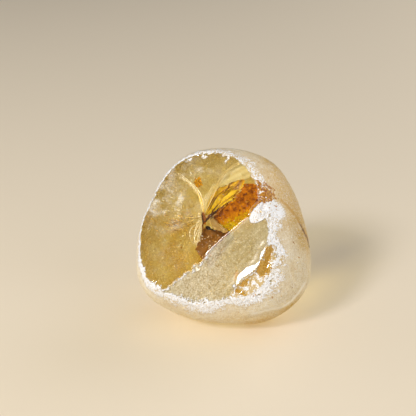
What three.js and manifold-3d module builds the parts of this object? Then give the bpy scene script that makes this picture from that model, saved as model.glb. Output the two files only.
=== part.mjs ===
// A seer stone: a river-tumbled pebble of golden smoky quartz. One side was broken and worn long
// ago into a satin face, and beside it a clear window is ground and polished into the pebble.
// Millimetres, +Z up. The stone rests on a small worn flat, and the origin is the middle of its
// bounding box at the level of that flat. The faces look towards -Y, and a little upwards.
//
// The stone is shaped in a leaning frame, and stood up at the end: there x runs right and y up in
// the plane of the pebble's widest outline, and z comes out of that plane towards the faces.

import * as THREE from "three";
import { mergeVertices } from "three/addons/utils/BufferGeometryUtils.js";
import Module from "manifold-3d";

// ---- Driving dimensions: the pebble -------------------------------------------------------------
const LEAN_DEG = 24; // how far the widest outline leans back
const OUTLINE_RADII = [29.7, 29.4, 31.6, 32.1, 31.4, 28.8, 29.8, 33.5, 30.9, 30.5, 33, 34.5];
const FRONT_DEPTH = 24;
const BACK_DEPTH = 21;
const ROUNDNESS = 2.35; // exponent of the section: 2 is an ellipse, more is boxier
const SKIN_DETAIL = 13; // how often each edge of the starting icosahedron is divided
const FOOT_DEPTH = 1.9; // the worn flat lies this far above the uncut pebble's lowest point

// ---- Driving dimensions: the two faces ----------------------------------------------------------
// Each face's plane: the way it looks, and its distance from the middle of the pebble.
const WINDOW = { facing: new THREE.Vector3(-0.36, 0.245, 0.9).normalize(), offset: 17.5 };
const BREAK = { facing: new THREE.Vector3(-0.14, -0.01, 0.99).normalize(), offset: 19.05 };
// The break face's relief: a swelling beside the crest, a dip at its lower rim, slow ripples, and a
// lip that rises to the edge of the scoops, along a bent line.
const SWELLING = { x: -8, y: -10.7, reach: 4.2, height: 0.7 };
const DIP = { x: -9, y: -20.5, reach: 3.6, height: -0.9 };
const LIP_LINE = [[4.1, -15.5], [5.8, -12.8], [8.9, -11.1], [11, -9.1], [13.1, -4.7], [14.1, -1.6]];
const LIP_HEIGHT = 0.55;
const LIP_REACH = 1.4; // how far the lip's slope runs to either side of its line
const RIPPLE_HEIGHT = 0.09;
const RIPPLE_LENGTH = 5.2;
// A low lumpy cap stands on both faces where the crest meets the rim: how far its slopes reach
// along and across, and the turn of its long way from +x.
const CAP = { x: 12.8, y: 9.6, long: 3, wide: 1.6, turnDeg: 43, height: 1.3 };
const CAP_LUMP = 0.3; // height of the cap's own lumps, as a share of its height
const WINDOW_DIVISIONS = 60; // of each cutter's side, for its relief
const BREAK_DIVISIONS = 66;

// ---- Driving dimensions: chips, scoops, the groove and the ledge ---------------------------------
const CHIP_COUNT = 30; // small chips round the rim of the faces
const CHIP_RADIUS = 2.3;
const CHIP_DEPTH = 0.45;
const CHIP_STRETCH = 1.3; // a chip's length over its width
const CREST_CHIP_COUNT = 8; // smaller ones along the crest between the faces
const CREST_CHIP_RADIUS = 1.3;
const CREST_CHIP_DEPTH = 0.14;
const CREST_START = new THREE.Vector2(-15.5, -16);
const CREST_END = new THREE.Vector2(8.5, 8.5);

// Long shallow scoops in the lower right border of the break face: middle, half length, half width,
// depth, and the turn of the long way from +x.
const SCOOPS = [
  { x: 10.2, y: -13.4, long: 7.6, wide: 3.1, depth: 1.15, turnDeg: 44 },
  { x: 14.6, y: -6.8, long: 5.4, wide: 2.4, depth: 0.8, turnDeg: 66 },
  { x: 4.9, y: -17.2, long: 4.8, wide: 2, depth: 0.6, turnDeg: 24 },
];
const BEAD_DETAIL = 2; // how often each edge of a chip's or scoop's icosahedron is divided
// Rows of long bites, each row along a smooth line over the skin. An old crack opens on the right
// side as a narrow groove, from below the cap to the back, and low on the right the skin steps down
// at a ledge. These bites are stretched along their row.
const GROOVE = {
  line: [[19.5, 13.2, 16.5], [25.3, 6, 12.9], [28.3, 1, 8.8], [29.5, -6, -4]],
  count: 13, radius: 1.5, depth: 0.4, stretch: 3,
};
const LEDGE = {
  line: [[8, -27.5, 12.5], [14.5, -25.6, 12.7], [21.4, -23.9, 9.8], [26.9, -18, 9.6]],
  count: 8, radius: 5, depth: 0.36, stretch: 2,
};

// ---- Solids -------------------------------------------------------------------------------------
const wasm = await Module();
wasm.setup();

function toSolid(geometry) {
  const bare = geometry.clone();
  bare.deleteAttribute("normal");
  bare.deleteAttribute("uv");
  const merged = mergeVertices(bare, 1e-4);
  return new wasm.Manifold(
    new wasm.Mesh({
      numProp: 3,
      vertProperties: new Float32Array(merged.attributes.position.array),
      triVerts: new Uint32Array(merged.index.array),
    }),
  );
}

function toGeometry(solid) {
  const mesh = solid.getMesh();
  const places = new Float32Array(mesh.numVert * 3);
  for (let i = 0; i < mesh.numVert; i++) {
    places.set(mesh.vertProperties.subarray(i * mesh.numProp, i * mesh.numProp + 3), i * 3);
  }
  return new THREE.BufferGeometry()
    .setAttribute("position", new THREE.BufferAttribute(places, 3))
    .setIndex(new THREE.BufferAttribute(mesh.triVerts, 1));
}

// ---- The pebble ---------------------------------------------------------------------------------
// The outline's radius at an angle, as a closed Catmull-Rom curve through OUTLINE_RADII.
function outlineRadius(angle) {
  const count = OUTLINE_RADII.length;
  const turns = angle / (2 * Math.PI);
  const along = (turns - Math.floor(turns)) * count;
  const start = Math.floor(along);
  const t = along - start;
  const [a, b, c, d] = [-1, 0, 1, 2].map((k) => OUTLINE_RADII[(start + k + count) % count]);
  const slope = c - a;
  const bend = 2 * a - 5 * b + 4 * c - d;
  const twist = 3 * b - a - 3 * c + d;
  return 0.5 * (2 * b + slope * t + bend * t * t + twist * t * t * t);
}

// Slow lumps on the tumbled skin, as a share of the radius.
function lumps(way) {
  return 0.006 * Math.sin(7 * way.x + 3 * way.y + 0.6)
    + 0.005 * Math.sin(9 * way.y - 4 * way.z + 1.9)
    + 0.004 * Math.sin(12 * way.z + 5 * way.x + 4.1);
}

// The point of the uncut skin that lies this way from the middle.
function skinPoint(way) {
  const wide = Math.hypot(way.x, way.y) / outlineRadius(Math.atan2(way.y, way.x));
  const deep = Math.abs(way.z) / (way.z > 0 ? FRONT_DEPTH : BACK_DEPTH);
  const radius = (wide ** ROUNDNESS + deep ** ROUNDNESS) ** (-1 / ROUNDNESS);
  return way.clone().multiplyScalar(radius * (1 + lumps(way)));
}

function pebble() {
  const geometry = new THREE.IcosahedronGeometry(1, SKIN_DETAIL);
  const place = geometry.attributes.position;
  const way = new THREE.Vector3();
  for (let i = 0; i < place.count; i++) {
    const point = skinPoint(way.fromBufferAttribute(place, i).normalize());
    place.setXYZ(i, point.x, point.y, point.z);
  }
  return toSolid(geometry);
}

// ---- The faces ----------------------------------------------------------------------------------
const CUTTER = 90; // a cutter's side, larger than the stone

// A block whose lower side is the face's plane, lifted out of it by relief(x, y).
function cutter(face, divisions, relief) {
  const block = new THREE.BoxGeometry(CUTTER, CUTTER, CUTTER, divisions, divisions, 1);
  block.translate(0, 0, CUTTER / 2 + face.offset);
  block.applyQuaternion(turnTo(face.facing));
  const place = block.attributes.position;
  const point = new THREE.Vector3();
  for (let i = 0; i < place.count; i++) {
    point.fromBufferAttribute(place, i);
    if (point.dot(face.facing) > face.offset + 1) continue; // the block's far side
    point.addScaledVector(face.facing, relief(point.x, point.y));
    place.setXYZ(i, point.x, point.y, point.z);
  }
  return toSolid(block);
}

// The turn that brings +Z to face this way.
function turnTo(way) {
  return new THREE.Quaternion().setFromUnitVectors(new THREE.Vector3(0, 0, 1), way);
}

const flat = () => 0;

function mound(spot, x, y) {
  const away = ((x - spot.x) ** 2 + (y - spot.y) ** 2) / spot.reach ** 2;
  return spot.height * Math.exp(-away / 2);
}

// The shortest distance from x, y to a bent line.
function lineDistance(line, x, y) {
  const distances = line.slice(1).map(([endX, endY], i) => {
    const [startX, startY] = line[i];
    const [longX, longY] = [endX - startX, endY - startY];
    const along = ((x - startX) * longX + (y - startY) * longY) / (longX ** 2 + longY ** 2);
    const share = THREE.MathUtils.clamp(along, 0, 1);
    return Math.hypot(x - startX - share * longX, y - startY - share * longY);
  });
  return Math.min(...distances);
}

function windowRelief(x, y) {
  const turn = THREE.MathUtils.degToRad(CAP.turnDeg);
  const along = (x - CAP.x) * Math.cos(turn) + (y - CAP.y) * Math.sin(turn);
  const across = (y - CAP.y) * Math.cos(turn) - (x - CAP.x) * Math.sin(turn);
  const away = (along / CAP.long) ** 2 + (across / CAP.wide) ** 2;
  const lumps = CAP_LUMP * Math.sin(2.2 * x) * Math.sin(1.9 * y + 1);
  return CAP.height * Math.exp(-away / 2) * (1 + lumps);
}

function breakRelief(x, y) {
  const ripple = Math.sin(x / RIPPLE_LENGTH + 0.5) + Math.sin((y - x) / RIPPLE_LENGTH);
  const slow = mound(SWELLING, x, y) + mound(DIP, x, y) + RIPPLE_HEIGHT * ripple;
  const lip = LIP_HEIGHT * Math.exp(-((lineDistance(LIP_LINE, x, y) / LIP_REACH) ** 2));
  return slow + lip + windowRelief(x, y);
}

function planeHeight(face, x, y) {
  return (face.offset - face.facing.x * x - face.facing.y * y) / face.facing.z;
}

function faceHeight(x, y) {
  return Math.min(planeHeight(WINDOW, x, y), planeHeight(BREAK, x, y));
}

// ---- Chips, scoops, the groove and the ledge ----------------------------------------------------
// An ellipsoid with its middle at this place, its short way turned to face `way`.
function bead(place, halfSizes, way, turnDeg) {
  const ball = new THREE.IcosahedronGeometry(1, BEAD_DETAIL);
  ball.scale(...halfSizes);
  ball.rotateZ(THREE.MathUtils.degToRad(turnDeg));
  ball.applyQuaternion(turnTo(way));
  ball.translate(...place);
  return toSolid(ball);
}

// A bead that bites `depth` deep into a surface at this point, where the surface looks `way`.
function bite(point, way, radius, depth, stretch, turnDeg) {
  const middle = point.clone().addScaledVector(way, radius - depth);
  return bead(middle, [radius * stretch, radius, radius], way, turnDeg);
}

// The point where the faces' rim crosses this angle, found by halving.
function rimPoint(angle) {
  const [x, y] = [Math.cos(angle), Math.sin(angle)];
  let inner = 0;
  let outer = outlineRadius(angle);
  for (let step = 0; step < 30; step++) {
    const middle = (inner + outer) / 2;
    const share = (middle / outlineRadius(angle)) ** ROUNDNESS;
    const skinHeight = FRONT_DEPTH * (1 - share) ** (1 / ROUNDNESS);
    if (skinHeight > faceHeight(middle * x, middle * y)) inner = middle;
    else outer = middle;
  }
  return new THREE.Vector3(inner * x, inner * y, faceHeight(inner * x, inner * y));
}

// An uneven but fixed value from low to high, one for each count and kind.
function uneven(low, high, count, kind) {
  const value = Math.sin(count * 12.9898 + kind * 78.233) * 43758.5453;
  return low + (high - low) * (value - Math.floor(value));
}

function rimChips() {
  return Array.from({ length: CHIP_COUNT }, (_, i) => {
    const angle = ((i + uneven(0, 0.6, i, 1)) / CHIP_COUNT) * 2 * Math.PI;
    const point = rimPoint(angle);
    const outward = new THREE.Vector3(Math.cos(angle), Math.sin(angle), 1.3).normalize();
    // The right side of the rim is worn wider than the left.
    const wear = 0.8 + 0.35 * Math.cos(angle);
    const radius = CHIP_RADIUS * wear * uneven(0.7, 1.4, i, 2);
    const depth = CHIP_DEPTH * wear * uneven(0.6, 1.4, i, 3);
    return bite(point, outward, radius, depth, CHIP_STRETCH, uneven(0, 180, i, 4));
  });
}

function crestChips() {
  return Array.from({ length: CREST_CHIP_COUNT }, (_, i) => {
    const along = (i + uneven(0, 1, i, 5)) / CREST_CHIP_COUNT;
    const spot = CREST_START.clone().lerp(CREST_END, along);
    const point = new THREE.Vector3(spot.x, spot.y, faceHeight(spot.x, spot.y));
    const radius = CREST_CHIP_RADIUS * uneven(0.7, 1.3, i, 6);
    return bite(point, BREAK.facing, radius, CREST_CHIP_DEPTH, CHIP_STRETCH, 45);
  });
}

function scoops() {
  return SCOOPS.map(({ x, y, long, wide, depth, turnDeg }) => {
    const sink = 2 * depth; // half height of the ellipsoid, which stands half out of the face
    const middle = new THREE.Vector3(x, y, planeHeight(BREAK, x, y) + sink - depth);
    return bead(middle, [long, wide, sink], BREAK.facing, turnDeg);
  });
}

function row({ line, count, radius, depth, stretch }) {
  const curve = new THREE.CatmullRomCurve3(line.map((point) => new THREE.Vector3(...point)));
  return Array.from({ length: count }, (_, i) => {
    const way = curve.getPointAt(i / (count - 1)).normalize();
    const run = curve.getTangentAt(i / (count - 1)).applyQuaternion(turnTo(way).invert());
    const turnDeg = THREE.MathUtils.radToDeg(Math.atan2(run.y, run.x));
    return bite(skinPoint(way), way, radius, depth * uneven(0.7, 1.3, i, 7), stretch, turnDeg);
  });
}

// ---- The stone ----------------------------------------------------------------------------------
function shaped() {
  const faced = pebble()
    .subtract(cutter(WINDOW, WINDOW_DIVISIONS, windowRelief))
    .subtract(cutter(BREAK, BREAK_DIVISIONS, breakRelief));
  const bites = [...scoops(), ...rimChips(), ...crestChips(), ...row(GROOVE), ...row(LEDGE)];
  return bites.reduce((solid, each) => solid.subtract(each), faced);
}

function stone() {
  const upright = toGeometry(shaped()).rotateX(THREE.MathUtils.degToRad(90 - LEAN_DEG));
  upright.computeBoundingBox();
  const footLevel = upright.boundingBox.min.z + FOOT_DEPTH;
  const under = { facing: new THREE.Vector3(0, 0, -1), offset: -footLevel };
  const geometry = toGeometry(toSolid(upright).subtract(cutter(under, 1, flat)));
  geometry.computeBoundingBox();
  const { min, max } = geometry.boundingBox;
  geometry.translate(-(min.x + max.x) / 2, -(min.y + max.y) / 2, -min.z);
  geometry.computeVertexNormals();
  return geometry;
}

const quartz = new THREE.MeshStandardMaterial({
  name: "golden_smoky_quartz",
  color: new THREE.Color(0.83, 0.7, 0.45),
  roughness: 0.4,
  metalness: 0,
});

const seerStone = new THREE.Mesh(stone(), quartz);
seerStone.name = "seer_stone";
const part = new THREE.Group();
part.add(seerStone);

export default part;
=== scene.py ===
"""Looks of the seer stone: a tumbled pebble of golden smoky quartz with a polished window.

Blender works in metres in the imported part's frame, +Z up and the faces towards -Y. Sizes below are
in millimetres in the stone's leaning frame: x runs right and y up along its widest outline, and z
comes out towards the faces. An oval is its middle x and y, half length, half width and turn.
"""

import math

import bmesh
import bpy
import numpy as np
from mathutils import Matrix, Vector, noise
from mathutils.bvhtree import BVHTree
from mathutils.kdtree import KDTree


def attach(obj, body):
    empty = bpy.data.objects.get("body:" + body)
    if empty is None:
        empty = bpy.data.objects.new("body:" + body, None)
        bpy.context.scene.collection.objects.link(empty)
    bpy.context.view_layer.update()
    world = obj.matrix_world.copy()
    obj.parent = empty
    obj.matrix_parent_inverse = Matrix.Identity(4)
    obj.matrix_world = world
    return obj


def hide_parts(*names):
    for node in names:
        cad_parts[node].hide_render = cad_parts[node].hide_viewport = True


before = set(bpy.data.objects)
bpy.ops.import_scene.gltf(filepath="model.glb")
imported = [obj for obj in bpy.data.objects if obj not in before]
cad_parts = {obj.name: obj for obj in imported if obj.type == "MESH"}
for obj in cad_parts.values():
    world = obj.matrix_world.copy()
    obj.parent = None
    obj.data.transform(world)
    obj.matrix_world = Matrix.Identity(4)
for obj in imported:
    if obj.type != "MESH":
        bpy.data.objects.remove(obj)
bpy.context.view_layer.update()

MM = 0.001

# ---- The stone's own sizes ----
LEAN = math.radians(24)
MIDDLE = np.array((-0.363, 0.922, 28.176))  # the pebble's middle in the part's frame
RIGHT = np.array((1.0, 0.0, 0.0))
UP = np.array((0.0, math.sin(LEAN), math.cos(LEAN)))
OUT = np.array((0.0, -math.cos(LEAN), math.sin(LEAN)))
LEAN_AXES = np.stack((RIGHT, UP, OUT))


def unit(*parts):
    way = np.array(parts, float)
    return way / np.linalg.norm(way)


WINDOW_FACING = unit(-0.36, 0.245, 0.9)
WINDOW_OFFSET = 17.5
WINDOW_SLACK = 0.2  # the window's own places lie this close to its plane
BREAK_FACING = unit(-0.14, -0.01, 0.99)
BREAK_OFFSET = 19.05
BREAK_RELIEF = 1.4  # how far the broken face rises over and sinks under its plane
RIDGE_REACH = 0.7  # what lies this close to both planes is their crest
CAP = (12.6, 9.4, 5.2, 2.5, 43)  # the knobbly cap at the crest's upper end
CAP_EDGE = 0.3  # the share of the cap's swelling at its edge
CAP_FROST = (16.3, 10.2, 5.2, 3.0, -35)  # white frost beside the cap
# The scoops in the broken face's lower right border, and where they are clear.
SCOOPS = ((10.2, -13.4, 7.6, 3.1, 44), (14.6, -6.8, 5.4, 2.4, 66), (4.9, -17.2, 4.8, 2.0, 24))
CLEAR_SPOTS = (
    (13.3, -9.2, 3.4, 2.5, 62), (14.6, -5.2, 3.9, 1.4, 80), (6.4, -14.5, 2.2, 1.2, 10),
    (5.6, -17.7, 2.4, 1.0, -25), (4.1, -11.9, 2.2, 0.5, 75),
)
# The glossy lip over the scoops: its inner edge, a bent line, and its width at each corner. It is
# two flats that face the same way, each through a spot this high over the broken face.
LIP_LINE = (
    (4.1, -15.5), (5.8, -12.8), (8.9, -11.1), (11.0, -9.1), (11.9, -7.0), (13.1, -4.7), (14.1, -1.6),
)
LIP_WIDTHS = (0.3, 1.6, 2.5, 1.4, 0.3, 1.1, 0.15)
LIP_FLATS = ((7.4, -10.6), (12.6, -4.9))
LIP_RISE = 0.1
LIP_BREAK = 0.67  # share of the lip's line where one flat gives way to the other
LIP_FACING = unit(-0.294, 0.18, 0.939)
# The old crack that opens as a groove on the right.
GROOVE_LINE = ((19.5, 13.2, 16.5), (25.3, 6.0, 12.9), (28.3, 1.0, 8.8), (29.5, -6.0, -4.0))

# Every 30 degrees from +x: how far frost runs in from the rim, how wide the bruised band outside it
# is, how white that band is, and how far out white specks reach.
INNER_FROST = (1.0, 0.5, 0.4, 0.7, 0.6, 0.4, 0.3, 1.3, 1.9, 2.0, 1.6, 1.2)
OUTER_FROST = (3.6, 4.4, 3.6, 2.6, 2.0, 1.6, 1.6, 3.2, 5.6, 5.0, 4.4, 3.4)
WHITENESS = (1.0, 0.7, 0.4, 0.6, 1.0, 1.0, 1.0, 1.0, 1.0, 1.0, 1.0, 1.0)
SPECK_REACH = (3.5, 5.5, 6.6, 5.0, 1.5, 1.0, 1.0, 2.0, 3.0, 2.6, 2.6, 3.0)
# The crest's frosted line: heights y, and its half widths there.
CREST_FROST = ((-12.0, -4.0, 0.0, 8.0), (0.9, 0.6, 0.25, 0.1))
# White flaws that run in from the rim.
FROST_SPURS = ((1.6, 27.4, 1.9, 0.6, 65), (-12.0, 27.0, 1.6, 0.7, 25), (-6.6, 28.3, 1.2, 0.8, 0))
# The ledge low on the right, where the skin steps down.
LEDGE_LINE = (
    (9.9, -25.4), (12.9, -24.6), (15.6, -23.9), (20.0, -23.3), (23.3, -21.3), (25.7, -18.8),
    (27.7, -15.6),
)
LEDGE_HEIGHT = 0.3
LEDGE_EDGE = 0.6  # half width of the step itself
LEDGE_REACH = 3.0  # how far beside the line the skin is raised or lowered
PIT_COUNT = 1500  # percussion pits, with their least and most radius and depth
PIT_RADIUS = (0.5, 1.3)
PIT_DEPTH = (0.03, 0.1)
RUST_PATCH = (12.8, 16.0, 5.2, 2.6, -32)  # rust-stained frost above the cap
# Golden skin: a middle, its reach and strength.
GOLDEN_SKIN = (
    (24.0, 15.0, 5.0, 15.0, 2.6), (26.0, 3.0, 6.0, 7.0, 0.7), (14.0, -30.0, 4.0, 6.5, 1.8),
    (24.5, -25.5, 3.0, 6.0, 1.8), (-4.0, -28.0, 8.0, 5.0, 0.4), (-14.0, -10.0, -18.0, 20.0, 0.6),
)
# Milky wisps under the window: ovals with a strength; a negative one thins the others.
WISPS = (
    (-15.4, 12.6, 3.6, 1.2, 65, 0.36), (-19.0, 9.2, 2.6, 0.8, 10, 0.4),
    (-18.5, 15.0, 4.0, 3.4, 0, 0.22), (-14.0, 13.5, 11.0, 9.0, 40, 0.06),
    (-13.0, 22.4, 3.0, 1.4, -30, 0.25), (-7.0, 23.6, 1.6, 0.8, 0, 0.5),
    (-16.5, 5.0, 5.0, 1.6, 20, 0.16), (-8.8, 19.2, 1.8, 1.2, 100, -0.3),
    (-11.0, 9.0, 4.0, 2.0, 40, 0.06), (-18.0, -5.0, 8.0, 8.0, 0, 0.07),
    (-4.0, 23.0, 9.0, 3.4, 0, 0.07), (-4.4, 3.8, 1.8, 0.9, -20, -0.4),
    (-3.0, -1.4, 4.6, 3.0, 45, -0.3), (-23.6, 12.0, 6.5, 1.9, 68, 0.3),
    (-15.5, 24.0, 8.0, 1.7, 36, 0.2),
)

VOXEL = 0.48  # edge length of the fine mesh
RIM_SPLIT = 3.0  # the mesh is finer this close outside the rim, inside it, and by the crest
INNER_SPLIT = 1.8
CREST_SPLIT = 0.9
FAR = 40.0  # distances over the mesh are cut off here
# Squeezes places so that noise runs in streaks along the crest.
SILK_AXES = np.array(((0.1, 0.1, 0.0), (-0.55, 0.5, 0.0), (0.0, 0.0, 0.5)))
SILK_RELIEF = 0.06


def to_lean(points):
    return (points / MM - MIDDLE) @ LEAN_AXES.T


def from_lean(points):
    return (np.asarray(points, float) @ LEAN_AXES + MIDDLE) * MM


def on_plane(x, y, facing, offset):
    return np.array((x, y, (offset - facing[0] * x - facing[1] * y) / facing[2]))


# ---- Mesh helpers ----
def read(items, key, width, kind=float):
    flat = np.empty(len(items) * width, kind)
    items.foreach_get(key, flat)
    return flat.reshape(-1, width)


def read_points(mesh):
    return read(mesh.vertices, "co", 3)


def write_points(mesh, points):
    mesh.vertices.foreach_set("co", np.asarray(points, float).ravel())
    mesh.update()


def read_normals(mesh):
    return read(mesh.vertex_normals, "vector", 3)


def read_edges(mesh):
    return read(mesh.edges, "vertices", 2, int)


def put_in_scene(name, data):
    made = bpy.data.objects.new(name, data)
    bpy.context.scene.collection.objects.link(made)
    return made


def soften(values, edges, times, share=0.5):
    """Moves each value towards its neighbours' mean; share may differ by vertex."""
    count = len(values)
    both = np.concatenate((edges, edges[:, ::-1]))
    degree = np.maximum(np.bincount(both[:, 0], minlength=count), 1)[:, None]
    values = values.reshape(count, -1).copy()
    share = np.broadcast_to(np.reshape(share, (-1, 1)), (count, 1))
    for _ in range(times):
        mean = np.stack(
            [np.bincount(both[:, 0], column[both[:, 1]], count) for column in values.T], 1
        )
        values += share * (mean / degree - values)
    return values


def tree_of(places):
    tree = KDTree(len(places))
    for i, place in enumerate(places):
        tree.insert(place, i)
    tree.balance()
    return tree


def nearest(points, targets, limit):
    """Each point's distance from the nearest target, cut off at limit."""
    tree = tree_of(targets)
    return np.array([min(tree.find(point)[2], limit) for point in points])


def apart(places, first, second):
    """How far each place of two regions lies from the other region."""
    away = np.full(len(places), FAR)
    for here, there in ((first, second), (second, first)):
        away[here] = nearest(places[here], places[there], FAR)
    return away


def ramp(values, low, high):
    """A smooth rise from 0 at low to 1 at high."""
    t = np.clip((values - low) / (high - low), 0, 1)
    return t * t * (3 - 2 * t)


def rumple(points, scale, seed):
    """Smooth noise from about -1 to 1; `scale` is the size of its features."""
    shift = Vector((seed * 17.3, seed * 5.1, seed * 9.7))
    return np.array([noise.noise(Vector(p) / scale + shift) for p in points]) * 1.6


def rumples(points, *layers):
    """The sum of layers of noise, each a strength, scale and seed."""
    return sum(strength * rumple(points, scale, seed) for strength, scale, seed in layers)


def in_oval(places, oval):
    """The square of each place's way out of an oval: 1 on its edge."""
    x, y, half_long, half_wide, turn = oval
    turn = math.radians(turn)
    along = (places[:, 0] - x) * math.cos(turn) + (places[:, 1] - y) * math.sin(turn)
    across = (places[:, 1] - y) * math.cos(turn) - (places[:, 0] - x) * math.sin(turn)
    return (along / half_long) ** 2 + (across / half_wide) ** 2


def beside_line(line, x, y):
    """Distance of each x, y from a bent line, negative on its right, and the share along it."""
    shortest = np.full(len(x), 99.0)
    along = np.zeros(len(x))
    for k, ((ax, ay), (bx, by)) in enumerate(zip(line, line[1:])):
        long_x, long_y = bx - ax, by - ay
        share = ((x - ax) * long_x + (y - ay) * long_y) / (long_x**2 + long_y**2)
        share = np.clip(share, 0, 1)
        away = np.hypot(x - ax - share * long_x, y - ay - share * long_y)
        side = np.where(long_x * (y - ay) - long_y * (x - ax) > 0, 1.0, -1.0)
        nearer = away < np.abs(shortest)
        shortest = np.where(nearer, away * side, shortest)
        along = np.where(nearer, (k + share) / (len(line) - 1), along)
    return shortest, along


def along_line(line, share):
    """The point at a share from 0 to 1 of a bent line's corners."""
    line = np.asarray(line, float)
    spot = share * (len(line) - 1)
    return np.array([np.interp(spot, range(len(line)), column) for column in line.T])


def put_attribute(mesh, name, values):
    layer = mesh.attributes.new(name, "FLOAT", "POINT")
    layer.data.foreach_set("value", np.asarray(values, np.float32).ravel())


# ---- The stone's fine mesh ----
def fine_copy(node):
    """A fine even mesh of the CAD node's surface."""
    mesh = node.data.copy()
    work = bmesh.new()
    work.from_mesh(mesh)
    bmesh.ops.remove_doubles(work, verts=work.verts, dist=1e-7)
    work.to_mesh(mesh)
    work.free()
    piece = put_in_scene("quartz_body", mesh)
    remesh = piece.modifiers.new("even", "REMESH")
    remesh.mode = "VOXEL"
    remesh.voxel_size = VOXEL * MM
    graph = bpy.context.evaluated_depsgraph_get()
    fine = bpy.data.meshes.new_from_object(piece.evaluated_get(graph))
    piece.modifiers.clear()
    piece.data = fine
    fine.name = "quartz_body"
    fine.materials.clear()
    write_points(fine, from_lean(soften(to_lean(read_points(fine)), read_edges(fine), 3)))
    split_rim(fine)
    fine.polygons.foreach_set("use_smooth", np.ones(len(fine.polygons), bool))
    return piece


def split_rim(mesh):
    """Makes the mesh finer near the rim, the crest, the cap and the lip."""
    near = Regions(mesh)
    wanted = (near.rim > -RIM_SPLIT) & (near.rim < INNER_SPLIT)
    wanted |= (near.crest < CREST_SPLIT) | (near.cap > 0.2) | near.by_lip
    work = bmesh.new()
    work.from_mesh(mesh)
    work.edges.ensure_lookup_table()
    both = wanted[read_edges(mesh)].all(axis=1)
    chosen = [work.edges[i] for i in np.flatnonzero(both)]
    bmesh.ops.subdivide_edges(work, edges=chosen, cuts=1, use_grid_fill=True)
    work.to_mesh(mesh)
    work.free()


class Regions:
    """Which face each vertex lies on, and its distance from the rim and the crest."""

    def __init__(self, mesh):
        self.normals = read_normals(mesh) @ LEAN_AXES.T
        self.places = to_lean(read_points(mesh))
        self.above_window = self.places @ WINDOW_FACING - WINDOW_OFFSET
        self.above_break = self.places @ BREAK_FACING - BREAK_OFFSET
        z = self.places[:, 2]
        self.cap = np.exp(-1.2 * in_oval(self.places, CAP)) * (z > 0)
        self.front = (z > 0) & (self.cap < CAP_EDGE)
        self.window = self.front & (np.abs(self.above_window) < WINDOW_SLACK)
        self.window &= self.normals @ WINDOW_FACING > 0.97
        self.find_lip()
        self.find_satin()
        self.measure_edges()
        self.measure_widths()
        self.flat = self.window & (self.rim > 0.4) & (self.crest > 0.3)

    def find_lip(self):
        """Marks the lip and its two flats, and the strip beside it."""
        beside, along = beside_line(LIP_LINE, self.places[:, 0], self.places[:, 1])
        width = np.interp(along * (len(LIP_WIDTHS) - 1), range(len(LIP_WIDTHS)), LIP_WIDTHS)
        self.lip = ramp(width - beside, -0.1, 0.15) * ramp(beside, -0.4, -0.1)
        self.lip *= self.front & (np.abs(self.above_break) < BREAK_RELIEF)
        self.by_lip = self.front & (np.abs(beside) < 2.4)
        self.lip_flat = (along > LIP_BREAK).astype(int)
        self.lip_side = np.exp(-(((beside - width) / 0.9) ** 2)) * (beside > 0) * self.front
        self.scoop_side = beside < 0.1

    def find_satin(self):
        """Marks the broken face with its scoops, and where these are frosted or clear."""
        looks = self.normals @ BREAK_FACING
        satin = (np.abs(self.above_break) < BREAK_RELIEF) & (looks > 0.93)
        scoop = np.min([in_oval(self.places, oval) for oval in SCOOPS], axis=0)
        self.cavity = ramp(-scoop, -1.15, -0.8) * self.scoop_side
        self.clear = np.min([in_oval(self.places, oval) for oval in CLEAR_SPOTS], axis=0)
        satin |= (scoop < 1.1) & (self.above_break < 0.3) & (looks > 0.75)
        self.satin = self.front & satin & (self.above_window < -0.1) & ~self.window
        ridge = (np.abs(self.above_window) < RIDGE_REACH) & (np.abs(self.above_break) < RIDGE_REACH)
        ridge |= self.lip > 0
        self.satin |= ridge & self.front & ~self.window

    def measure_edges(self):
        """Distance from the faces' rim, positive on the faces, and from the crest."""
        face = self.window | self.satin
        self.rim = np.where(face, 1.0, -1.0) * apart(self.places, face, ~face)
        self.crest = apart(self.places, self.window, self.satin)

    def measure_widths(self):
        """The widths of frost, bruised band and specks in each place's direction."""
        angle = np.degrees(np.arctan2(self.places[:, 1], self.places[:, 0])) % 360
        turns = np.arange(0, 361, 30)
        widths = (INNER_FROST, OUTER_FROST, WHITENESS, SPECK_REACH)
        widths = [np.interp(angle, turns, width + width[:1]) for width in widths]
        self.inner_frost, self.outer_frost, self.whiteness, self.speck_reach = widths
        self.inner_frost *= 1 - 0.75 * np.exp(-0.3 * in_oval(self.places, CAP))


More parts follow.
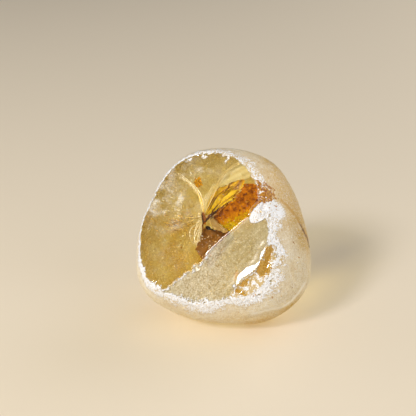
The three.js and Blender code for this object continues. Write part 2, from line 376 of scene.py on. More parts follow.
def shape_stone(mesh):
    """Rounds and roughens the fine mesh, marks what lies where, and gives the marks' names."""
    near = Regions(mesh)
    places = smoothed(near, read_edges(mesh))
    grain = rumples(places, (0.6, 1.0, 3), (0.5, 0.5, 4))
    clear = cleared(places, near, grain)
    frost = frosted(places, near, grain, clear)
    bruised, specks = whitened(places, near, grain)
    ledge, _ = beside_line(LEDGE_LINE, places[:, 0], places[:, 1])
    silk = rumples(places @ SILK_AXES.T, (0.5, 1.0, 5), (0.3, 0.45, 6))
    silk += rumples(places, (0.4, 1.1, 9), (0.4, 4.0, 10))

    skin = ramp(-near.rim, 0.0, 0.8)
    lift = skin * rumples(places, (0.14, 7.0, 1), (0.05, 2.4, 2))
    crust = frost * bruised * ramp(-np.abs(near.rim + 1.0), -4.0, -1.0)
    knobs = 0.18 * grain + 0.24 * rumple(places, 2.0, 14)
    lift += crust * (0.17 * grain - 0.03) + near.cap * knobs
    lift -= pits(places, skin > 0.5)
    step = ledge / np.hypot(ledge, LEDGE_EDGE) * np.exp(-((ledge / LEDGE_REACH) ** 2))
    lift += LEDGE_HEIGHT * (step * (places[:, 2] > -3))
    lift += near.satin * (1 - frost) * (1 - near.lip) * SILK_RELIEF * silk
    lift[near.flat] = 0
    write_points(mesh, from_lean(places))
    places += (read_normals(mesh) @ LEAN_AXES.T) * lift[:, None]
    write_points(mesh, from_lean(places))

    x, y, z = places.T
    by_cap = np.exp(-0.6 * in_oval(places, CAP)) * (near.cap < CAP_EDGE) * (y > x)
    marks = {
        "satin": near.satin,
        "scoop": np.maximum(clear, near.cavity) * near.satin,
        "frost": frost,
        "bruised": bruised,
        "specks": specks,
        "bloom": np.exp(-((np.minimum(near.rim, 0) / 6.5) ** 2)),
        "gilded": gilded(places),
        "worn": ramp(-x + 0.4 * rumple(places, 4.0, 17), -6.0, 8.0),
        # The lip: its glossy flats, and where its painted white highlight goes.
        "lip": near.lip,
        "silk": silk,
        "dull": np.maximum(np.exp(-((near.crest / 0.45) ** 2)), near.lip_side * (1 - near.lip)),
        "haze": window_haze(places) * near.window,
        "stain": groove_stain(places),
        # Where the ledge's painted white highlight lies: on its step, on the front half.
        "ledge": np.exp(-((ledge / LEDGE_EDGE) ** 2)) * ramp(z, 1, 7),
        "patch": np.maximum(np.exp(-in_oval(places, RUST_PATCH)), by_cap) * (z > 0),
    }
    for name, values in marks.items():
        put_attribute(mesh, name, values)
    return list(marks)


def smoothed(near, edges):
    """The places with voxel steps rounded off, most by the rim, and window and lip made flat."""
    edge = ramp(-np.minimum(np.abs(near.rim), near.crest), -0.9, -0.3)
    places = soften(near.places, edges, 2, 0.5)
    places = soften(places, edges, 6, 0.5 * edge)
    flat = places[near.flat]
    places[near.flat] -= np.outer(flat @ WINDOW_FACING - WINDOW_OFFSET, WINDOW_FACING)
    for k, (x, y) in enumerate(LIP_FLATS):
        middle = on_plane(x, y, BREAK_FACING, BREAK_OFFSET) + LIP_RISE * BREAK_FACING
        climb = (middle - places) @ LIP_FACING / (BREAK_FACING @ LIP_FACING)
        climb *= near.lip * (near.lip_flat == k)
        places += np.outer(climb, BREAK_FACING)
    return places


def cleared(places, near, grain):
    """How far the scoops' frost is broken away, down to clear quartz."""
    openness = np.exp(-1.1 * near.clear ** 2) + 0.08 * near.cavity
    clear = ramp(openness + 0.7 * grain + 0.2 * rumple(places, 1.6, 11), 0.4, 0.6)
    return clear * ramp(openness, 0.1, 0.25)


def frosted(places, near, grain, clear):
    """Frost: whole on the skin, in flecks within the rim, and a thin line on the crest."""
    wander = np.clip(1 + 0.9 * rumple(places, 6.0, 12), 0.3, 2)
    depth = np.maximum(near.rim, 0) / near.inner_frost / wander
    frost = ramp(1.1 * grain + 1.1 - 1.7 * depth, 0.0, 0.5)
    crest_frost = np.interp(places[:, 1], *CREST_FROST)
    frost = np.maximum(frost, ramp(0.8 * grain + 0.55 - near.crest / crest_frost, 0.0, 0.5))
    for spur in FROST_SPURS:
        frost = np.maximum(frost, ramp(1.0 - in_oval(places, spur) + 1.4 * grain, 0.2, 0.8))
    frost = np.maximum(frost, near.cavity) * (1 - np.maximum(clear, near.lip))
    return np.where(near.rim < -0.2, 1.0, frost)


def whitened(places, near, grain):
    """How bruised white each place is, and how thick with white specks."""
    broken = near.cavity * ramp(rumple(places, 1.3, 19) + 0.3 * grain, -0.5, 0.3)
    outside = np.maximum(-near.rim, 0) / near.outer_frost
    bruised = ramp(1.1 - outside + 0.4 * rumple(places, 3.0, 8) + 0.3 * grain, 0.0, 0.9)
    bruised *= np.maximum(near.whiteness, near.cap > 0.2) * (1 - 0.9 * broken)
    by_cap = ramp(-in_oval(places, CAP_FROST), -1.4, -0.5) * (places[:, 2] > 0)
    bruised = np.maximum(bruised, by_cap)
    specks = ramp(-near.rim / near.speck_reach, 1.25, 0.1)
    specks = np.clip(specks + 0.2 * rumple(places, 3.0, 13), 0, 1) * ramp(specks, 0.0, 0.1)
    return bruised, specks * (1 - 0.8 * broken)


def pits(places, allowed):
    """Depth of the percussion pits that tumbling left, at each place."""
    source = np.random.default_rng(7)
    spots = source.choice(np.flatnonzero(allowed), PIT_COUNT)
    tree = tree_of(places)
    depth = np.zeros(len(places))
    for spot in spots:
        radius = source.uniform(*PIT_RADIUS)
        deep = source.uniform(*PIT_DEPTH)
        for _, i, away in tree.find_range(places[spot], radius):
            depth[i] = max(depth[i], deep * (1 - (away / radius) ** 2))
    return depth


def window_haze(places):
    """Milky wisps just under the window."""
    haze = np.zeros(len(places))
    for *oval, strength in WISPS:
        haze += strength * np.exp(-in_oval(places, oval))
    torn = 0.5 + 0.7 * rumple(places, 3.0, 6) + 0.5 * rumple(places, 1.0, 7)
    return np.clip(haze * np.clip(torn, 0, 1.6), 0, 1)


def groove_stain(places):
    """The stain of the old crack in the groove: golden above, dark below."""
    shares = np.linspace(0, 1, 80)
    line = np.array([along_line(GROOVE_LINE, share) for share in shares])
    line /= np.linalg.norm(line, axis=1)[:, None]
    ways = places / np.linalg.norm(places, axis=1)[:, None]
    away = nearest(ways, line, 2) * 30 + 0.3 * rumple(places, 1.4, 15)
    dark = ramp(-places[:, 1] + 0.4 * rumple(places, 1.0, 18), -5.8, -4.2)
    return np.exp(-((away / 0.75) ** 2)) * (0.5 + 0.5 * dark)


def gilded(places):
    """Where the skin is golden rather than cream."""
    amount = np.zeros(len(places))
    for *middle, reach, strength in GOLDEN_SKIN:
        away = np.linalg.norm(places - middle, axis=1) / reach
        amount += strength * np.exp(-(away**2))
    return np.clip(amount * (1 + 0.5 * rumple(places, 5.0, 16)), 0, 1)


# ---- Material helpers ----
def rgb(red, green, blue):
    """The linear colour of a screen colour, given from 0 to 255."""
    shares = [value / 255 for value in (red, green, blue)]
    return (*[s / 12.92 if s <= 0.04045 else ((s + 0.055) / 1.055) ** 2.4 for s in shares], 1.0)


class Maker:
    """Adds nodes to one material; a socket takes a number, a colour or another's output."""

    def __init__(self, name):
        self.material = bpy.data.materials.new(name)
        self.material.use_nodes = True
        self.tree = self.material.node_tree
        self.tree.nodes.clear()
        self.output = self.tree.nodes.new("ShaderNodeOutputMaterial")

    def fill(self, socket, value):
        if isinstance(value, bpy.types.NodeSocket):
            self.tree.links.new(value, socket)
        elif value is not None:
            socket.default_value = value

    def add(self, kind, inputs=(), **settings):
        made = self.tree.nodes.new("ShaderNode" + kind)
        for key, value in settings.items():
            setattr(made, key, value)
        for key, value in dict(inputs).items():
            self.fill(made.inputs[key], value)
        return made

    def attribute(self, name):
        return self.add("Attribute", attribute_name=name).outputs["Fac"]

    def math(self, operation, first, second=None, third=None, clamp=False):
        made = self.add("Math", operation=operation, use_clamp=clamp)
        for socket, value in zip(made.inputs, (first, second, third)):
            self.fill(socket, value)
        return made.outputs[0]

    def times(self, first, second):
        return self.math("MULTIPLY", first, second)

    def most(self, first, second):
        return self.math("MAXIMUM", first, second)

    def ramp(self, value, low, high, to_low=0.0, to_high=1.0):
        inputs = {"Value": value, "From Min": low, "From Max": high, "To Min": to_low,
                  "To Max": to_high}
        return self.add("MapRange", inputs, interpolation_type="SMOOTHSTEP").outputs["Result"]

    def blend(self, factor, first, second):
        made = self.add("Mix", data_type="FLOAT")
        self.fill(made.inputs["Factor"], factor)
        self.fill(made.inputs[2], first)
        self.fill(made.inputs[3], second)
        return made.outputs[0]

    def mix(self, factor, first, second):
        """From one colour to another; each is an output or a screen colour."""
        made = self.add("Mix", data_type="RGBA")
        self.fill(made.inputs["Factor"], factor)
        for socket, colour in ((made.inputs[6], first), (made.inputs[7], second)):
            self.fill(socket, rgb(*colour) if isinstance(colour, tuple) else colour)
        return made.outputs[2]

    def over(self, under, colour, where, share=None):
        """Lays a colour over another where a mask says, at a share of its strength."""
        return self.mix(where if share is None else self.times(where, share), under, colour)

    def noise(self, size, detail=2.0, roughness=0.5):
        """Noise fixed to the piece; `size` is the size of its features in millimetres."""
        place = self.add("TexCoord").outputs["Object"]
        place = self.add("Mapping", {"Scale": (1 / MM,) * 3, "Vector": place}).outputs[0]
        inputs = {"Vector": place, "Scale": 1 / size, "Detail": detail, "Roughness": roughness}
        return self.add("TexNoise", inputs).outputs["Fac"]

    def veins(self, size, width):
        """Fine wandering lines, where noise crosses its middle value."""
        away = self.math("ABSOLUTE", self.math("SUBTRACT", self.noise(size, 3, 0.6), 0.5))
        return self.ramp(away, 0.0, width, 1.0, 0.0)

    def bump(self, height, distance, strength=1.0, under=None):
        inputs = {"Height": height, "Distance": distance * MM, "Strength": strength, "Normal": under}
        return self.add("Bump", inputs).outputs["Normal"]


# ---- The quartz ----
QUARTZ_INDEX = 1.544
ABSORPTION_COLOUR = (0.81, 0.715, 0.10, 1)
ABSORPTION_DENSITY = 31.0
LIGHT_LET_THROUGH = (0.75, 0.75, 0.75, 1)  # what lamps send through the stone into its shadow

# Screen colours. Where there are two, the surface runs from one to the other.
CREAM = ((233, 224, 200), (198, 154, 20))  # the skin where it is plain, and where it is golden
CRACKLE = ((247, 240, 220), (226, 196, 104))  # its paler crackle, on cream and on gold
GRAINS = (182, 156, 92)
BLOOM = (248, 246, 240)  # the skin round the faces
HAIR_LINES = (255, 254, 250)
CREASES = (196, 166, 112)
UNDER_FROST = (200, 172, 112)
FROST_WHITE = (244, 246, 252)
# A painted highlight along the ledge's step.
LEDGE_PAINTED_HIGHLIGHT = (255, 254, 248)
GROOVE_STAIN = ((196, 148, 44), (96, 50, 6))
RUST = ((140, 70, 0), (204, 146, 0))
SATIN = ((176, 158, 104), (202, 188, 146))  # the broken face
SATIN_WORN = ((180, 170, 136), (220, 214, 196))  # its greyer left part
SATIN_SCUFFS = (252, 244, 222)
SATIN_DARK = (150, 120, 58)
SCOOPS_CLEAR = ((196, 140, 40), (232, 194, 110))
# Painted highlight: the lip is painted white where the key lamp's reflection falls on its glossy
# flats.
LIP_PAINTED_HIGHLIGHT = (255, 255, 255)
WINDOW = ((247, 241, 224), (255, 254, 250))


class Quartz(Maker):
    """The stone's one material, from the marks that shape_stone() puts on the mesh."""

    def __init__(self, marks):
        super().__init__("golden_smoky_quartz")
        for mark in marks:
            setattr(self, mark, self.attribute(mark))
        self.grains = self.noise(0.42, 2, 0.6)
        self.fine = self.noise(0.55, 3, 0.7)
        self.middle = self.noise(1.4, 3, 0.6)
        self.crackle = self.ramp(self.noise(1.1, 4, 0.75), 0.42, 0.56)
        dots = self.ramp(self.math("MULTIPLY_ADD", self.specks, 0.24, self.grains), 0.68, 0.74)
        white = self.ramp(self.math("MULTIPLY_ADD", self.bruised, 0.28, self.grains), 0.57, 0.73)
        self.whitened = self.most(white, dots)
        self.rust = self.mix(self.ramp(self.fine, 0.42, 0.58), *RUST)

    def skin(self):
        """Cream to golden, bruised white near the faces, with stains, rust and a painted highlight
        along the ledge.
        """
        broad = self.ramp(self.noise(9.0, 2, 0.5), 0.45, 0.7, 0.0, 0.35)
        golden = self.math("ADD", self.gilded, broad, clamp=True)
        crackle = self.times(self.crackle, self.math("SUBTRACT", 0.75, self.times(self.gilded, 0.45)))
        skin = self.over(self.mix(golden, *CREAM), self.mix(golden, *CRACKLE), crackle)
        skin = self.over(skin, GRAINS, self.ramp(self.grains, 0.5, 0.4), 0.4)
        skin = self.over(skin, BLOOM, self.bloom, 0.5)
        hairs = self.most(self.veins(2.6, 0.016), self.veins(1.2, 0.02))
        skin = self.over(skin, HAIR_LINES, hairs, 0.45)
        creases = self.most(self.veins(3.1, 0.014), self.veins(1.7, 0.012))
        skin = self.over(skin, CREASES, creases, 0.35)
        worked = self.most(self.most(self.specks, self.bruised), self.scoop)
        skin = self.over(self.over(skin, UNDER_FROST, worked), FROST_WHITE, self.whitened)
        # A painted white highlight along the ledge, broken by noise.
        ragged = self.ramp(self.middle, 0.3, 0.5, 0.5, 1.5)
        skin = self.over(skin, LEDGE_PAINTED_HIGHLIGHT, self.math("MULTIPLY", self.ledge, ragged, clamp=True))
        stained = self.times(self.ramp(self.stain, 0.1, 0.4), self.ramp(self.middle, 0.3, 0.44))
        stain = self.mix(self.ramp(self.stain, 0.5, 0.75), *GROOVE_STAIN)
        skin = self.over(skin, stain, stained, 0.9)
        spotted = self.ramp(self.math("MULTIPLY_ADD", self.patch, 0.6, self.middle), 0.66, 0.72)
        spotted = self.times(spotted, self.ramp(self.noise(1.0, 2, 0.6), 0.6, 0.55))
        return self.over(skin, self.rust, spotted)

    def broken_face(self):
        """Khaki silk, greyer to the left, golden where the scoops are clear, and a painted white
        highlight on the lip.
        """
        face = self.mix(self.ramp(self.silk, -1.4, 1.4), *SATIN)
        face = self.over(face, self.mix(self.ramp(self.fine, 0.35, 0.65), *SATIN_WORN), self.worn, 0.8)
        scuffs = self.times(self.ramp(self.grains, 0.55, 0.63), self.blend(self.worn, 0.45, 0.6))
        face = self.over(face, SATIN_SCUFFS, scuffs)
        face = self.over(face, SATIN_DARK, self.ramp(self.fine, 0.48, 0.36), 0.45)
        face = self.over(face, self.mix(self.ramp(self.fine, 0.38, 0.6), *SCOOPS_CLEAR), self.scoop)
        face = self.over(face, self.rust, self.ramp(self.patch, 0.2, 0.4))
        # The lip's white is a painted highlight, laid over its real glossy flats.
        return self.over(face, LIP_PAINTED_HIGHLIGHT, self.lip)

    def colour(self):
        window = self.mix(self.ramp(self.middle, 0.4, 0.6), *WINDOW)
        return self.mix(self.frost, self.mix(self.satin, window, self.broken_face()), self.skin())

    def solid(self):
        """How much of its light each part throws back instead of letting it in."""
        silky = self.ramp(self.silk, -1.4, 1.4, 0.52, 0.7)
        silky = self.math("ADD", silky, self.ramp(self.fine, 0.4, 0.6, -0.12, 0.12))
        flecks = self.ramp(self.noise(0.6, 2, 0.5), 0.66, 0.73, 0.0, 0.3)
        milky = self.times(self.haze, self.ramp(self.fine, 0.3, 0.7, 0.5, 1.5))
        milky = self.math("ADD", milky, flecks)
        # The lip keeps a share of 0.35 of its painted white highlight; the rest lets light in.
        broken_face = self.blend(self.lip, self.blend(self.scoop, silky, 0.3), 0.35)
        skin = self.blend(self.whitened, self.blend(self.crackle, 0.6, 0.76), 0.95)
        return self.blend(self.frost, self.blend(self.satin, milky, broken_face), skin)

    def roughness(self):
        """Polished window and lip, satin broken face and dull skin."""
        face = self.blend(self.satin, 0.03, self.blend(self.scoop, 0.3, 0.08))
        face = self.blend(self.lip, self.blend(self.dull, face, 0.6), 0.14)
        return self.blend(self.frost, face, self.blend(self.bruised, 0.42, 0.32))

    def normal(self):
        """Grain and crumbs in the frost, and silk on the broken face."""
        normal = self.bump(self.times(self.fine, self.frost), 0.25, 0.8)
        crumbs = self.times(self.times(self.grains, self.bruised), self.frost)
        normal = self.bump(crumbs, 0.4, 1.0, normal)
        return self.bump(self.times(self.silk, self.satin), 0.03, 0.5, normal)

    def finish(self):
        surface = self.add("BsdfPrincipled", {
            "Base Color": self.colour(), "Roughness": self.roughness(), "IOR": QUARTZ_INDEX,
            "Transmission Weight": self.math("SUBTRACT", 1.0, self.solid()),
            "Normal": self.normal(),
        })
        through = self.add("BsdfTransparent", {"Color": LIGHT_LET_THROUGH})
        shadow = self.add("LightPath").outputs["Is Shadow Ray"]
        both = self.add("MixShader", {0: shadow, 1: surface.outputs[0], 2: through.outputs[0]})
        self.fill(self.output.inputs["Surface"], both.outputs[0])
        depth = {"Color": ABSORPTION_COLOUR, "Density": ABSORPTION_DENSITY}
        depth = self.add("VolumeAbsorption", depth)
        self.fill(self.output.inputs["Volume"], depth.outputs[0])
        return self.material


# ---- Inside the stone ----
# A place inside is its x and y on the window and a depth below it. The depth runs along INWARD, the
# way a look square to the widest outline goes on once the quartz bends it.
def bent_look():
    slant = WINDOW_FACING[2]
    inner_slant = math.sqrt(1 - (1 - slant**2) / QUARTZ_INDEX**2)
    look = np.array((0.0, 0.0, -1.0)) / QUARTZ_INDEX
    return look + (slant / QUARTZ_INDEX - inner_slant) * WINDOW_FACING


INWARD = bent_look()
COVER = 0.35  # the least quartz over anything inside
FOCUS = (-6.4, 7.6, 8.0)  # where the old cracks meet
FAN_OUTLINE = (
    (-6.8, 7.6), (-5.2, 11.6), (-3.8, 14.8), (-1.8, 17.4), (1.2, 18.7), (5.4, 20.2), (7.6, 20.2),
    (6.8, 18.0), (5.2, 15.6), (2.2, 13.0), (-2.2, 9.8),
)
FAN_EDGE = (
    (-3.6, 15.0), (-1.6, 17.4), (1.4, 18.7), (5.0, 20.1), (7.8, 20.3), (5.6, 15.8), (2.4, 13.0),
)
# The blade from the focus up and left: where it bends, and its tip.
LEFT_BLADE_BEND = (-7.6, 12.6, 6.6)
LEFT_BLADE_TIP = (-8.9, 15.6, 6.0)
RUST_OUTLINE = (
    (-3.8, 6.8), (-0.6, 10.2), (3.0, 13.0), (5.5, 16.2), (7.4, 19.0), (12.2, 18.9), (14.0, 15.6),
    (13.4, 11.4), (10.6, 8.0), (8.2, 5.4), (3.8, 4.0), (1.8, 2.2), (0.1, 4.2), (-2.4, 5.8),
)
# The dark wedge below the focus: a sheet along its fracture borders, painted dark brown as painted
# shade for the shaded far side seen through the quartz.
WEDGE_SHADE_OUTLINE = (
    (-7.0, 3.8), (-3.6, 3.2), (-0.6, 2.8), (1.8, 2.8), (3.0, 0.8), (-1.0, -4.2), (-5.0, -9.2),
    (-6.6, -7.4), (-8.6, -5.2), (-9.4, -3.4), (-8.0, -0.2),
)
BEIGE_OUTLINE = (
    (-5.0, 6.2), (-3.6, 7.6), (-2.4, 6.0), (0.8, 3.2), (1.8, 2.4), (0.2, 2.0), (-3.4, 3.6),
)
LENS_OUTLINE = (
    (-1.6, 17.6), (-0.6, 20.3), (1.4, 23.0), (4.1, 25.0), (6.5, 25.7), (8.8, 24.6), (9.9, 22.6),
    (8.8, 20.6), (6.5, 20.6), (2.8, 19.3), (0.4, 17.9),
)
LENS_EDGE = LENS_OUTLINE[:8]  # its upper side
LENS_EDGE_DEPTH = 2.6
SPOT_MIDDLE = (-8.8, 19.2, 4.4)
RIPPLES_MIDDLE = (-15.6, 5.2, 5.0)
# The spindle-shaped prism's ends.
PRISM_TOP = (-7.4, 8.0)
PRISM_END = (-9.6, -3.4)
PRISM_DEPTH = 1.6
# The pale crack that runs from the focus to the upper left rim.
PALE_CRACK = ((-6.9, 9.0), (-7.6, 12.4), (-8.4, 15.2), (-10.0, 17.6), (-13.0, 20.2), (-16.2, 23.0))
# The left edge of the fan and the lens.
BLADE_LINE = ((-6.6, 8.2), (-4.8, 12.0), (-3.2, 15.4), (-1.4, 18.9), (2.4, 23.3))
# Streaks round the focus: start, end, width and tone.
DARK_STREAKS = (
    ((-6.6, 5.4, 5.6), (-3.8, 8.8, 5.0), 0.8, 0.1),
    ((-4.6, 8.2, 5.2), (-1.6, 12.2, 4.6), 0.5, 0.3),
    ((-5.0, 7.0, 5.2), (-1.4, 10.6, 4.6), 0.7, 0.2),
    ((-1.8, 10.2, 4.8), (2.0, 12.6, 4.4), 0.45, 0.4),
    ((-7.5, 9.2, 5.6), (-6.9, 5.2, 5.4), 0.6, 0.2),
    ((-7.0, 6.2, 5.4), (-7.0, 2.6, 5.6), 0.6, 0.5),
    ((-6.9, 3.6, 5.6), (-7.3, 0.2, 6.2), 0.35, 0.2),
    ((-5.6, 9.6, 5.8), (-2.6, 15.2, 4.6), 0.3, 0.5),
    ((-0.6, 15.8, 4.2), (3.4, 18.2, 3.8), 0.35, 0.5),
    ((-2.6, 14.2, 4.4), (0.8, 17.2, 4.0), 0.25, 0.6),
    ((1.6, 2.8, 3.0), (-0.4, -0.2, 3.4), 0.7, 0.6),
    ((2.6, 16.4, 3.8), (5.6, 18.8, 3.4), 0.3, 0.5),
    ((-7.0, 9.4, 6.2), (-6.2, 4.6, 6.0), 1.5, 0.9),
    ((-6.4, 6.0, 6.2), (-2.6, 9.6, 5.8), 1.3, 0.8),
    ((-4.4, 7.6, 5.8), (0.4, 11.0, 5.4), 0.9, 0.9),
    ((-3.6, 7.6, 5.4), (-0.6, 9.6, 5.2), 0.4, 0.8),
)
# Clouds of bright flecks: middle, spread along x, y and depth, and how many.
CLOUDS = (
    ((-8.3, 6.6, 1.6), (0.3, 1.5, 0.3), 40),
    ((-7.9, 1.4, 1.6), (0.6, 1.3, 0.3), 24),
    ((-15.6, 12.4, 5.0), (0.9, 2.6, 1.5), 70),
    ((-18.6, 9.4, 5.0), (2.2, 0.8, 1.5), 30),
    ((-18.0, 14.5, 7.0), (2.4, 2.4, 2.0), 30),
    ((-12.0, 21.5, 4.0), (2.6, 1.4, 1.5), 40),
    ((-14.0, -6.0, 9.0), (6.0, 6.0, 4.0), 60),
    ((-8.0, 8.0, 9.0), (9.0, 9.0, 4.0), 70),
    ((-4.0, -3.5, 5.0), (1.6, 2.6, 0.6), 40),
)
LEAST_FLECK_DEPTH = 0.8


def tinted(name, colours, rough, shine=0.5, mottled=0.8, patches=0.6):
    """An inner material that runs through screen colours by tone and noise."""
    make = Maker(name)
    mottle = make.math("SUBTRACT", make.noise(patches, 4, 0.7), 0.5)
    spread = make.math("ADD", make.attribute("tone"), make.times(mottle, mottled), clamp=True)
    colour = make.add("ValToRGB", {"Fac": spread})
    steps = colour.color_ramp.elements
    while len(steps) < len(colours):
        steps.new(0.5)
    for k, (step, value) in enumerate(zip(steps, colours)):
        step.position = k / (len(colours) - 1)
        step.color = rgb(*value)
    surface = make.add("BsdfPrincipled", {
        "Base Color": colour.outputs["Color"], "Roughness": rough,
        "Specular IOR Level": shine,
        "Normal": make.bump(make.noise(0.5, 2, 0.6), 0.1, 0.6),
    })
    make.fill(make.output.inputs["Surface"], surface.outputs[0])
    return make.material


def inside(x, y, depth):
    return on_plane(x, y, WINDOW_FACING, WINDOW_OFFSET) + depth * INWARD


def crack_depth(x, y):
    """Depth of the rusty crack, which comes up to the window at its upper right."""
    return 13.4 - 0.68 * y - 0.02 * x


def in_outline(x, y, outline):
    within = False
    for (ax, ay), (bx, by) in zip(outline, outline[1:] + outline[:1]):
        if (ay > y) != (by > y) and x < ax + (y - ay) / (by - ay) * (bx - ax):
            within = not within
    return within


def buried(places):
    """Whether every place has a little quartz over it."""
    for place in places:
        near, normal, _, _ = SURFACE.find_nearest(Vector(place))
        if (Vector(place) - near).dot(normal) > -COVER:
            return False
    return True


class Slivers:
    """Thin closed slivers of crack in one mesh; `tone` shades each in its material."""

    def __init__(self):
        self.points, self.faces, self.tones = [], [], []

    def add(self, path, width, tone, facing=-INWARD, thick=0.12, fullest=0.5):
        """A flat sliver along a path, turned to `facing` and widest at the share `fullest`."""
        path = np.asarray(path, float)
        if not buried(path):
            return
        ways = np.gradient(path, axis=0)
        bend = math.log(0.5) / math.log(fullest)
        first = len(self.points)
        self.points.append(path[0])
        for i in range(1, len(path) - 1):
            swell = math.sin(math.pi * (i / (len(path) - 1)) ** bend) ** 0.7
            side = unit(*np.cross(ways[i], facing))
            up = unit(*np.cross(side, ways[i]))
            for part in (side * width, up * thick, -side * width, -up * thick):
                self.points.append(path[i] + part * swell / 2)
        self.points.append(path[-1])
        last = len(self.points) - 1
        rings = range(first + 1, last, 4)
        for k in range(4):
            follow = (k + 1) % 4
            self.faces.append((first, rings[0] + follow, rings[0] + k))
            for ring in rings[:-1]:
                self.faces.append((ring + k, ring + follow, ring + 4 + follow, ring + 4 + k))
            self.faces.append((rings[-1] + k, rings[-1] + follow, last))
        self.tones += [tone] * (last + 1 - first)

    def piece(self, name, material):
        inner_piece(name, self.points, self.faces, self.tones, material)


def inner_piece(name, points, faces, tones, material):
    mesh = bpy.data.meshes.new(name)
    mesh.from_pydata(from_lean(points).tolist(), [], faces)
    put_attribute(mesh, "tone", tones)
    mesh.materials.append(material)
    piece = put_in_scene(name, mesh)
    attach(piece, "root")


def sheet(name, outline, depth, tone, material, step=0.35, ragged=0.5, thick=0.1):
    """A thin closed sheet with a ragged edge; depth(x, y) and tone(x, y) shape and shade it."""
    low = np.min(outline, axis=0) - 1
    high = np.max(outline, axis=0) + 1

    def place(i, j, below=0.0):
        x, y = low + np.array((i, j)) * step
        return inside(x, y, depth(x, y) + 0.25 * noise.noise(Vector((x, y, 3)) * 0.6) + below)

    def kept(i, j):
        x, y = low + (np.array((i, j)) + 0.5) * step
        spot = Vector((x, y, len(name))) * 1.1
        x += ragged * noise.noise(spot)
        y += ragged * noise.noise(spot + Vector((9, 9, 9)))
        return in_outline(x, y, outline) and buried((place(i, j), place(i + 1, j + 1)))

    columns, rows = ((high - low) / step).astype(int)
    cells = [(i, j) for i in range(columns) for j in range(rows) if kept(i, j)]
    corners = sorted({(i + a, j + b) for i, j in cells for a in (0, 1) for b in (0, 1)})
    number = {corner: k for k, corner in enumerate(corners)}
    tops = [place(i, j) for i, j in corners]
    bottoms = [place(i, j, thick) for i, j in corners]
    tones = [tone(*(low + np.array(corner) * step)) for corner in corners]
    count = len(corners)
    faces = []
    sides = {}
    for i, j in cells:
        ring = [number[i, j], number[i + 1, j], number[i + 1, j + 1], number[i, j + 1]]
        faces.append(ring)
        faces.append([k + count for k in reversed(ring)])
        for a, b in zip(ring, ring[1:] + ring[:1]):
            sides[a, b] = (b, a) not in sides
            if not sides[a, b]:
                del sides[a, b], sides[b, a]
    for a, b in sides:
        faces.append([b, a, a + count, b + count])
    inner_piece(name, tops + bottoms, faces, tones + tones, material)


def curve(start, bend, end, count=9, wobble=0.0, seed=0):
    """A path between places inside, bowed towards `bend`."""
    share = np.linspace(0, 1, count)[:, None]
    spots = (1 - share) ** 2 * start + 2 * share * (1 - share) * bend + share**2 * end
    for k, spot in enumerate(spots[1:-1]):
        shake = noise.noise_vector(Vector((k * 0.9, seed * 3.7, 0)))
        spot += wobble * np.array(shake)
    return [inside(*spot) for spot in spots]


def straight(start, end, **more):
    start, end = np.array((start, end), float)
    return curve(start, (start + end) / 2, end, **more)


def golden_fan(source):
    """Golden blades and a leaf that spread from the focus, and a blade to the left."""
    gold = ((96, 54, 0), (176, 124, 0), (212, 164, 0), (240, 208, 50))
    material = tinted("golden_crack", gold, 0.3, 0.15)
    slivers = Slivers()
    for k in range(60):
        share = source.uniform(0, 1)
        reach = source.uniform(0.6, 1.04)
        base = FOCUS + source.normal(0, (0.35, 0.35, 0.6))
        edge = np.array((*along_line(FAN_EDGE, share), source.uniform(4.5, 7.5)))
        start = base + (edge - base) * source.uniform(0, 0.35)
        end = base + (edge - base) * reach
        bend = (start + end) / 2 + source.normal(0, (0.5, 0.5, 0.8))
        width = source.choice((2.0, 1.2, 0.45, 0.25), p=(0.2, 0.26, 0.27, 0.27))
        tone = source.uniform(0.5, 1) if width > 1 else source.choice((0.05, 0.4, 0.8, 1.0))
        facing = -INWARD + source.normal(0, 0.35, 3)
        path = curve(start, bend, end, wobble=0.25, seed=k)
        slivers.add(path, width, tone, facing, fullest=0.62)
    slivers.piece("fan_blades", material)
    sheet("fan_leaf", FAN_OUTLINE, lambda x, y: 8.2 - 0.16 * (y - FOCUS[1]),
          lambda x, y: 0.5 + 0.3 * math.sin(1.9 * x - 1.3 * y), material, ragged=0.4)
    slivers = Slivers()
    for _ in range(5):
        start = (*FOCUS[:2], 7.6) + source.normal(0, 0.2, 3)
        end = LEFT_BLADE_TIP + np.array((source.normal(0, 0.4), source.normal(0, 0.8), 0.0))
        bend = LEFT_BLADE_BEND + source.normal(0, 0.2, 3)
        slivers.add(curve(start, bend, end), 0.6, source.uniform(0.6, 1), fullest=0.4)
    slivers.piece("left_blade", material)


def rust_tone(x, y):
    """The rust is brown above and yellow along its lower right side."""
    low_side = ramp(8.6 - y + 0.45 * x, 0.0, 5.0)
    return 0.22 + 0.72 * low_side + 0.3 * noise.noise(Vector((x, y, 0)) * 1.3)


def rusty_crack(source):
    """The rusty crack right of the fan: a ragged sheet with streaks along it."""
    rust = ((116, 54, 0), (186, 110, 0), (204, 138, 0), (208, 176, 0))
    material = tinted("rusty_crack", rust, 0.45, 0.1, 1.6, 1.8)
    slivers = Slivers()
    low, high = np.min(RUST_OUTLINE, axis=0), np.max(RUST_OUTLINE, axis=0)
    for k in range(260):
        middle = source.uniform(low - 0.8, high + 0.8)
        if not in_outline(*(middle + source.normal(0, 0.5, 2)), RUST_OUTLINE):
            continue
        way = unit(*(middle - FOCUS[:2]))
        way += source.normal(0, 0.22, 2)
        long = source.uniform(0.3, 1.2)
        ends = [middle - way * long / 2, middle + way * long / 2]
        lift = source.uniform(-0.9, 0.2)
        spots = [(*end, crack_depth(*end) + lift) for end in ends]
        tone = np.clip(rust_tone(*middle) + source.normal(0, 0.3), 0, 1)
        path = straight(*spots, wobble=0.15, seed=k, count=6)
        slivers.add(path, source.uniform(0.15, 0.45), tone, -INWARD + source.normal(0, 0.4, 3))
    slivers.piece("rust_streaks", material)
    sheet("rust_sheet", RUST_OUTLINE, crack_depth, rust_tone, material)


